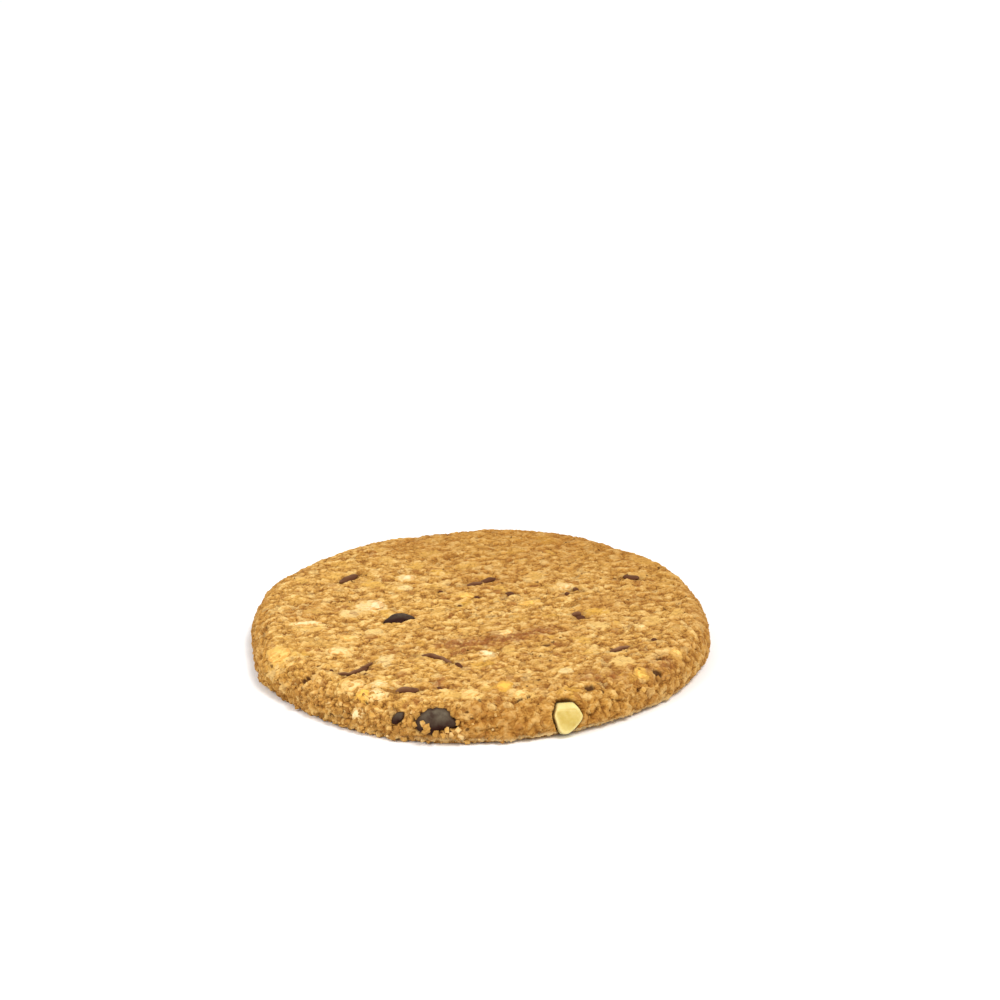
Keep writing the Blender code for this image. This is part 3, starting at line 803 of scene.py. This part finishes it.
lumps = []
for line, width, proud, bloom_and_sheen in STREAKS:
    lump, shape = new_pebble()
    angle = np.arctan2(shape[:, 1], shape[:, 0])
    ragged = 1.0
    for waves in (2, 3, 5):
        ragged += pick.uniform(0.02, 0.07) * np.sin(waves * angle + pick.uniform(0.0, 6.3))
    share = 0.5 + 0.5 * shape[:, 0]
    points, normals = along_surface(line, share)
    ahead, _ = along_surface(line, held(share + 0.02))
    behind, _ = along_surface(line, held(share - 0.02))
    forward = ahead - behind
    forward /= np.linalg.norm(forward, axis=1)[:, None]
    sideways = np.cross(normals, forward)
    depth = max(LEAST_DEPTH, STREAK_DEPTH * width)
    middle = np.array(line).mean(axis=0)
    level = rest_level(standing_at(*middle, 0.0), 3.0, 3.0)
    across = shape[:, 1] * 0.5 * width * ragged
    phase = pick.uniform(0.0, 6.3)
    dips = 0.1 * np.sin(2.6 * points[:, 0] + phase) * np.cos(2.2 * points[:, 1] + phase)
    up = shape[:, 2] * 0.5 * depth + level + proud - 0.5 * depth + dips
    facing = surface_at(*middle)[1]
    # The crust is drawn in round the streak, with painted shade there
    press_in(apart_from(line, 0.5 * width + 0.12), facing, 0.12 + 0.05 * width, 0.45)
    set_points(lump, points + sideways * across[:, None] + normals * up[:, None])
    # Bloom, with painted sheen on the far side of the streak and its near side left dark
    keep_number(lump, "bloom_and_sheen", bloom_and_sheen * held(0.8 + 0.9 * shape[:, 1]))
    keep_number(lump, "dragged", np.ones(len(shape)))
    lumps.append(lump)

# Chunks that look out: place, facing, thickness, bloom and painted sheen, and corners round the
# middle, across and up
CHUNKS = (
    (
        (-6.5, -37.4, 3.8), (0.0, -0.92, 0.39), 2.7, 0.75,
        ((-3.5, -0.3), (-2.5, 1.0), (-2.0, 1.4), (-0.5, 1.8), (0.5, 1.9), (1.9, 1.3), (2.4, 0.3),
         (3.4, -0.2), (3.1, -1.1), (1.8, -1.2), (0.5, -1.4), (0.0, -2.0), (-1.0, -2.1),
         (-2.4, -1.8), (-3.1, -1.3)),
    ),
    (
        (-12.4, -36.4, 3.7), (-0.2, -0.88, 0.43), 1.4, 0.4,
        ((0.9, 1.0), (0.5, 1.0), (-0.5, 0.4), (-0.9, -0.4), (-0.9, -0.8), (-0.4, -1.0),
         (0.3, -0.5), (0.9, 0.3)),
    ),
    (
        (-13.1, -3.6, 6.0), (0.0, -0.15, 0.99), 1.3, 0.5,
        ((-2.6, -1.6), (-1.7, 0.2), (0.1, 1.6), (1.6, 1.2), (2.7, 0.0), (1.0, -0.6), (-1.0, -1.3)),
    ),
)


def sink(place, reach_at, level, shade):
    """Draws the crust in behind a piece in this place, down to this level inside its outline."""
    local = seen_from(place)
    angle = np.arctan2(local[:, 1], local[:, 0])
    rho = np.hypot(local[:, 0], local[:, 1]) / reach_at(angle)
    closeness = held((1.12 - rho) / 0.1) * (np.abs(local[:, 2]) < 3.0)
    facing = np.array(place)[:3, 2]
    drawn = closeness * np.clip(local[:, 2] - level, 0.0, None)
    set_points(dough, points_of(dough) - np.outer(drawn, facing))
    # Painted shade in the gap round the piece
    closeness = held((1.17 - rho) / 0.14) * (np.abs(local[:, 2]) < 3.0)
    closeness *= 0.8 + 0.2 * np.sin(2.0 * angle - 0.6) * np.cos(3.0 * angle)
    shade_hollow(closeness * shade)


def outline_of(corners):
    """The reach of an outline of these corners from its middle, at an angle."""
    across, up = np.array(corners).T
    angles, reaches = np.arctan2(up, across), np.hypot(across, up)
    return lambda angle: np.interp(angle, angles, reaches, period=2.0 * math.pi)


def facing_place(middle, facing):
    """The place of a piece whose middle is here and whose front looks this way."""
    facing = Vector(facing).normalized()
    across = Vector((0.0, 0.0, 1.0)).cross(facing) if facing.z < 0.9 else Vector((1.0, 0.0, 0.0))
    across.normalize()
    up = facing.cross(across).normalized()
    turned = Matrix((across, up, facing)).transposed().to_4x4()
    return Matrix.Translation(Vector(middle)) @ turned


for middle, facing, thickness, bloom_and_sheen, corners in CHUNKS:
    lump, shape = new_pebble()
    reach_at = outline_of(corners)
    rho = np.hypot(shape[:, 0], shape[:, 1])
    angle = np.arctan2(shape[:, 1], shape[:, 0])
    wide = rho ** 0.85 * reach_at(angle)
    across, up, out = np.cos(angle) * wide, np.sin(angle) * wide, shape[:, 2] * 0.5 * thickness
    points = np.stack([across, up, out], axis=1)
    place = facing_place(middle, facing)
    sink(place, reach_at, 0.05, 0.95)
    set_points(lump, moved_to(points, place))
    # Painted sheen on the upper side, which faces the light, with the bloom
    top_side = held(0.6 + 1.2 * shape[:, 1]) * held(1.5 * (1.0 - rho ** 3))
    keep_number(lump, "bloom_and_sheen", bloom_and_sheen * top_side)
    keep_number(lump, "dragged", np.zeros(len(shape)))
    lumps.append(lump)
chocolate = join(lumps, "chocolate_pieces")

# Dark chocolate that melted and set untempered: brown-black with a dull, greyish bloom, and a
# painted greyish sheen where it faces up. Where it was dragged out thin it took up dough and fat,
# and is a dull reddish brown.
tree, shader, bloom_and_sheen_share, dragged = new_material(
    chocolate, "dull_dark_chocolate", "bloom_and_sheen", "dragged"
)
where = place_in(tree)
bloom_and_sheen = add(
    tree, "ShaderNodeTexNoise",
    {"Vector": where, "Scale": 1 / BLOOM_AND_SHEEN_SIZE, "Detail": 3.0, "Roughness": 0.55},
)
bloom_and_sheen_cover = add(tree, "ShaderNodeMapRange", {0: bloom_and_sheen, 1: 0.3, 2: 0.6, 3: 0.25, 4: 1.0})
bloom_and_sheen_cover = add(tree, "ShaderNodeMath", {0: bloom_and_sheen_cover, 1: bloom_and_sheen_share}, operation="MULTIPLY")
bloom_and_sheen_colour = add(
    tree, "ShaderNodeMix", {0: dragged, 6: "#6E6350", 7: "#926A48"}, data_type="RGBA"
).outputs[2]
dark = add(
    tree, "ShaderNodeMix", {0: dragged, 6: "#2C130A", 7: "#54301A"}, data_type="RGBA"
).outputs[2]
colour = add(tree, "ShaderNodeMix", {0: bloom_and_sheen_cover, 6: dark, 7: bloom_and_sheen_colour}, data_type="RGBA").outputs[2]
bump = add(tree, "ShaderNodeBump", {"Height": bloom_and_sheen, "Distance": 0.15 * MM, "Strength": 1.0})
feed(tree, shader, {
    "Base Color": colour, "Roughness": 0.65, "Specular IOR Level": 0.1, "Normal": bump,
})
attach(chocolate, "root")
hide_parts("biscuit")

# Chocolate that smeared over the crust, and crust that baked browner: a line, its reach, how strong
SMEARS = (
    (((-4.4, -14.2), (0.0, -13.7), (5.1, -11.9)), 2.3, 1.0),
    (((3.0, -12.4), (5.1, -11.5), (10.1, -9.1)), 1.8, 1.0),
    (((-4.2, -17.8), (-2.6, -16.4)), 0.9, 1.0),
    (((10.4, -14.9), (12.8, -14.2)), 0.8, 0.8),
    (((-6.9, -30.3), (-5.9, -27.0)), 0.7, 0.9),
    (((-3.2, -22.2), (-1.7, -23.7)), 0.8, 0.7),
    (((27.0, -23.0), (29.0, -20.5)), 2.4, 0.7),
    (((16.5, -27.0), (21.0, -26.4)), 2.6, 0.6),
    (((-11.5, -35.6), (-9.6, -35.4)), 0.8, 0.6),
)
# Deep pits and cracks beside the flakes, darkened with painted shade: a line and its reach
CRACKS = (
    (((27.1, -23.5), (27.7, -23.3)), 0.6),
    (((16.5, -30.4), (16.9, -30.3)), 0.62),
    (((28.0, -19.8), (28.3, -19.7)), 0.52),
    (((10.2, -14.8), (10.7, -14.7)), 0.48),
    (((-27.1, -25.4), (-26.8, -25.3)), 0.52),
    (((5.2, -35.6), (6.3, -34.5)), 0.22),
    (((7.0, -34.6), (7.4, -33.7)), 0.2),
    (((-18.1, -31.8), (-17.2, -33.7)), 0.2),
)
CRACK_DEPTH = 0.42
for line, reach in CRACKS:
    press_in(apart_from(line, reach), surface_at(*line[0])[1], CRACK_DEPTH, 1.0)
stain = np.zeros(len(dough.data.vertices))
for line, reach, strength in SMEARS:
    stain = np.maximum(stain, strength * np.exp(-apart_from(line, reach) ** 2))
keep_number(dough, "stain", stain)

# A piece of chopped nut, peeled and broken, that looks out of the front of the shoulder.
# It was cut into flat facets, so it has dull, slightly waxy faces and rounded edges.
NUT_PLACE, NUT_FACING, NUT_THICKNESS = Vector((13.3, -34.6, 2.85)), (0.16, -0.86, 0.44), 2.4
NUT_TAPER, NUT_LOWEST, NUT_EDGE, NUT_FACE_SIZE, NUT_CLOUD_SIZE = 0.97, 0.15, 0.26, 0.12, 1.6
# Corners of its front face, from its middle: across and up
NUT_CORNERS = (
    (-1.6, 2.4), (1.0, 2.4), (1.5, 1.7), (1.8, 1.05), (2.25, 0.15), (2.0, -0.5), (1.35, -1.25),
    (0.6, -2.0), (-0.25, -2.5), (-1.2, -2.4), (-1.8, -1.6), (-2.05, -0.7), (-2.4, 0.4),
    (-1.95, 1.5),
)
nut = new_piece(
    bpy.ops.mesh.primitive_cylinder_add, vertices=len(NUT_CORNERS), radius=1.0, depth=NUT_THICKNESS
)
nut.name = "nut_piece"
points = points_of(nut) * MM
for index, (across, up) in enumerate(reversed(NUT_CORNERS)):
    for end in (2 * index, 2 * index + 1):
        size = NUT_TAPER if points[end, 2] > 0 else 1.0
        points[end, :2] = across * size, up * size
set_points(nut, points)
bpy.ops.object.mode_set(mode="EDIT")
bpy.ops.mesh.select_all(action="SELECT")
bpy.ops.mesh.normals_make_consistent(inside=False)
bpy.ops.object.mode_set(mode="OBJECT")
modify(nut, "BEVEL", width=NUT_EDGE * MM, segments=3, limit_method="NONE")
modify(nut, "REMESH", mode="VOXEL", voxel_size=NUT_FACE_SIZE * MM)
points = points_of(nut)
wave = 0.08 * np.sin(1.9 * points[:, 0] + 0.6) * np.cos(1.6 * points[:, 1])
lean = 0.95 * np.clip(points[:, 1] - 1.1, 0.0, 2.0) + 0.25 * np.clip(-0.7 - points[:, 1], 0.0, 2.0)
points[:, 2] += (points[:, 2] > 0) * (wave - lean)
reach_at = outline_of(NUT_CORNERS)
rho = np.hypot(points[:, 0], points[:, 1]) / reach_at(np.arctan2(points[:, 1], points[:, 0]))
# Painted highlight along its edges and on its top facet
edge_and_top_highlight = held((rho - 0.72) / 0.24) + held((points[:, 1] - 1.1) / 0.4)
keep_number(nut, "edge_and_top_highlight", held(edge_and_top_highlight))
place = facing_place(NUT_PLACE, NUT_FACING)
sink(place, reach_at, -0.9, 1.0)
points = moved_to(points, place)
points[:, 2] = np.maximum(points[:, 2], NUT_LOWEST)
set_points(nut, points)
bpy.ops.object.shade_smooth()

# Peeled nut: waxy and slightly translucent, yellow inside, faintly grainy, with a painted highlight
# in pale cream along its edges and on its top facet
tree, shader, edge_and_top_highlight = new_material(nut, "peeled_nut", "edge_and_top_highlight")
where = place_in(tree)
cloud = add(
    tree, "ShaderNodeTexNoise",
    {"Vector": where, "Scale": 1 / NUT_CLOUD_SIZE, "Detail": 4.0, "Roughness": 0.6},
)
cloud_and_highlight = add(tree, "ShaderNodeMath", {0: cloud, 1: 0.5}, operation="SUBTRACT")
cloud_and_highlight = add(tree, "ShaderNodeMath", {0: cloud_and_highlight, 1: 2.0, 2: edge_and_top_highlight}, operation="MULTIPLY_ADD")
cloud_and_highlight = add(tree, "ShaderNodeMapRange", {0: cloud_and_highlight, 1: -0.3, 2: 1.0})
colour = add(
    tree, "ShaderNodeMix", {0: cloud_and_highlight, 6: "#BC9E42", 7: "#E2CF86"}, data_type="RGBA"
).outputs[2]
bump = add(tree, "ShaderNodeBump", {"Height": cloud, "Distance": 0.15 * MM, "Strength": 1.0})
feed(tree, shader, {
    "Base Color": colour, "Roughness": 0.45, "Normal": bump, "Subsurface Weight": 0.15,
    "Subsurface Radius": (1.0, 0.7, 0.35), "Subsurface Scale": 0.8 * MM,
})
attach(nut, "root")
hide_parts("biscuit")

# Crumbs. Bits of dough and oat that broke off as the dough was cut stuck to its edge and baked on.
# They stand out most round the crumbly front left, and a few lie on the top.
CRUMBS, CRUMB_SMALLEST, CRUMB_LARGEST, CRUMB_SUNK = 300, 0.35, 1.15, 0.25
STRAY_CHANCE, EDGE_CHANCE, SPECKLE_SIZE = 0.012, 1.2, 0.6
# Crumbs that are seen one by one: x, y, z, size, paleness
SINGLE_CRUMBS = (
    (-8.6, -38.5, 3.8, 1.05, 0.5),
    (-8.0, -38.7, 3.3, 1.3, 0.3),
    (-8.1, -38.8, 2.6, 1.1, 0.15),
    (-9.6, -37.4, 4.6, 0.9, 0.15),
    (-8.4, -36.9, 5.2, 0.9, 0.25),
    (-7.2, -36.7, 5.5, 0.8, 0.1),
    (-5.9, -36.6, 5.6, 0.9, 0.3),
    (-4.8, -36.9, 5.3, 0.8, 0.15),
    (-4.2, -37.3, 4.7, 0.9, 0.2),
    (-3.4, -38.0, 3.7, 0.9, 0.2),
    (-6.7, -38.9, 2.3, 1.0, 0.2),
    (-9.9, -38.0, 3.4, 0.8, 0.2),
    (-28.0, -26.1, 3.2, 1.5, 0.05),
    (-9.8, -16.0, 6.3, 0.9, 0.6),
    (-5.0, -38.6, 2.7, 0.9, 0.45),
    (-3.3, -38.7, 2.7, 0.8, 0.55),
    (-4.4, -38.7, 2.0, 0.8, 0.6),
    (-2.9, -38.7, 1.7, 0.8, 0.7),
    (-5.6, -38.6, 1.8, 0.8, 0.4),
    (-8.7, -38.0, 0.8, 0.6, 0.7),
    (-14.0, -36.3, 0.8, 0.6, 0.75),
    (25.0, -27.1, 4.0, 0.9, 0.4),
)
pattern_crumb = new_piece(bpy.ops.mesh.primitive_cube_add, size=1.0)
bpy.ops.object.mode_set(mode="EDIT")
bpy.ops.mesh.subdivide(number_cuts=1, smoothness=0.0)
bpy.ops.object.mode_set(mode="OBJECT")
pattern = points_of(pattern_crumb) * MM
pattern = 0.5 * pattern + 0.25 * pattern / np.linalg.norm(pattern, axis=1)[:, None]

points = points_of(dough)
kept = {name: kept_number(dough, name) for name in ("side", "crumbly", "under", "hollow_shade")}
chance = STRAY_CHANCE * (points[:, 1] < 10.0)
chance += EDGE_CHANCE * kept["crumbly"] ** 5 * (points[:, 1] < 0.0)
chance *= (kept["under"] < 0.1) * (kept["hollow_shade"] < 0.2) * (points[:, 2] > 0.5)
draw = np.random.default_rng(7)
chosen = draw.choice(len(points), size=CRUMBS, replace=False, p=chance / chance.sum())
spots = [(*points[index], kept["side"][index], *draw.uniform(0.0, 1.0, 2)) for index in chosen]
scattered = []
for x, y, z, side, bigness, paleness in spots:
    size = CRUMB_SMALLEST + (CRUMB_LARGEST - CRUMB_SMALLEST) * bigness ** 3
    inward = 1.0 - CRUMB_SUNK * size * side / math.hypot(x, y)
    z -= CRUMB_SUNK * size * (1.0 - side)
    scattered.append((x * inward, y * inward, z, size, 0.6 * paleness ** 3))
crumbs = []
for x, y, z, size, paleness in (*scattered, *SINGLE_CRUMBS):
    shape = pattern * draw.uniform(0.7, 1.25, (len(pattern), 1)) * draw.uniform(0.6, 1.2, 3) * size
    turn = np.linalg.qr(draw.normal(size=(3, 3)))[0]
    turn[:, 0] *= np.sign(np.linalg.det(turn))
    shape = shape @ turn.T + np.array([x, y, z])
    shape[:, 2] = np.maximum(shape[:, 2], 0.05)
    crumb = copy_of(pattern_crumb, shape, "crumb")
    keep_number(crumb, "paleness", np.full(len(shape), paleness))
    crumbs.append(crumb)
bpy.data.objects.remove(pattern_crumb)
scatter = join(crumbs, "baked_on_crumbs")
bpy.ops.object.shade_smooth_by_angle(angle=math.radians(20))

# Crumb of baked dough and oat: dry and matt, from brown gold to cream, each a colour of its own
tree, shader, paleness = new_material(scatter, "baked_crumb", "paleness")
where = place_in(tree)
speckle = add(
    tree, "ShaderNodeTexNoise",
    {"Vector": where, "Scale": 1 / SPECKLE_SIZE, "Detail": 3.0, "Roughness": 0.6},
)
lighter = add(tree, "ShaderNodeMath", {0: speckle, 1: 0.8, 2: paleness}, operation="MULTIPLY_ADD")
colour = painted(tree, "#8C5A22", (
    (lighter, 0.25, 0.8, 1.0, "#C8974A"),
    (lighter, 0.8, 1.4, 1.0, "#EBD098"),
))
bump = add(tree, "ShaderNodeBump", {"Height": speckle, "Distance": 0.12 * MM, "Strength": 1.0})
feed(tree, shader, {
    "Base Color": colour, "Roughness": 0.9, "Specular IOR Level": 0.2, "Normal": bump,
})
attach(scatter, "root")
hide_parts("biscuit")

# The studio. The biscuit lies on a plain white floor under one large soft lamp from the front
# right, with a small one low at the left and a white surround that fills the shadows.
FLOOR_SIDE, FLOOR_DROP, SURROUND = 6.0, 0.05 * MM, 0.69
floor = new_piece(
    bpy.ops.mesh.primitive_plane_add, size=FLOOR_SIDE, location=(0.0, 0.0, -FLOOR_DROP)
)
floor.name = "floor"
tree, shader = new_material(floor, "matt_white_paper")
white = (0.92, 0.92, 0.92, 1.0)
feed(tree, shader, {"Base Color": white, "Roughness": 0.9, "Specular IOR Level": 0.0})

scene = bpy.context.scene
scene.world = bpy.data.worlds.new("studio")
scene.world.use_nodes = True
tree = scene.world.node_tree
feed(tree, tree.nodes["Background"], {"Color": (1.0, 1.0, 1.0, 1.0), "Strength": SURROUND})

# Each lamp: its name, where it stands in metres, its side and its power in watts
for name, place, size, power in (
    ("key", Vector((0.95, -1.0, 2.4)), 1.0, 51.0),
    ("fill", Vector((-0.2, -0.18, 0.22)), 0.16, 0.4),
):
    light = bpy.data.lights.new(name, "AREA")
    light.shape = "SQUARE"
    light.size = size
    light.energy = power
    lamp = bpy.data.objects.new(name, light)
    scene.collection.objects.link(lamp)
    lamp.location = place
    lamp.rotation_euler = (-place).to_track_quat("-Z", "Y").to_euler()

# The camera looks at the biscuit's middle from this far in millimetres and this high in degrees.
# Sizes in the picture are in pixels of a picture of this side.
CAMERA_DISTANCE, CAMERA_ELEVATION, PIXEL_SIZE, SENSOR_WIDTH = 450.0, 23.0, 0.163, 36.0
PICTURE_SIDE, AIM_ACROSS, AIM_DOWN, AIM_HEIGHT = 1000, 480.5, 627.3, 3.4
focal_pixels = CAMERA_DISTANCE / PIXEL_SIZE
elevation = math.radians(CAMERA_ELEVATION)
camera_data = bpy.data.cameras.new("camera")
camera_data.sensor_width = SENSOR_WIDTH
camera_data.lens = SENSOR_WIDTH * focal_pixels / PICTURE_SIDE
camera_data.clip_start, camera_data.clip_end = 0.01, 20.0
camera = bpy.data.objects.new("camera", camera_data)
scene.collection.objects.link(camera)
scene.camera = camera
aim = Vector((OUTLINE_CENTRE.x, OUTLINE_CENTRE.y, AIM_HEIGHT))
back = Vector((0.0, -math.cos(elevation), math.sin(elevation)))
camera.location = (aim + back * CAMERA_DISTANCE) * MM
pitch = elevation - math.atan((AIM_DOWN - PICTURE_SIDE / 2) / focal_pixels)
yaw = math.atan((PICTURE_SIDE / 2 - AIM_ACROSS) / focal_pixels)
camera.rotation_euler = (math.pi / 2 - pitch, 0.0, -yaw)

scene.view_settings.view_transform = "Standard"
scene.view_settings.look = "None"
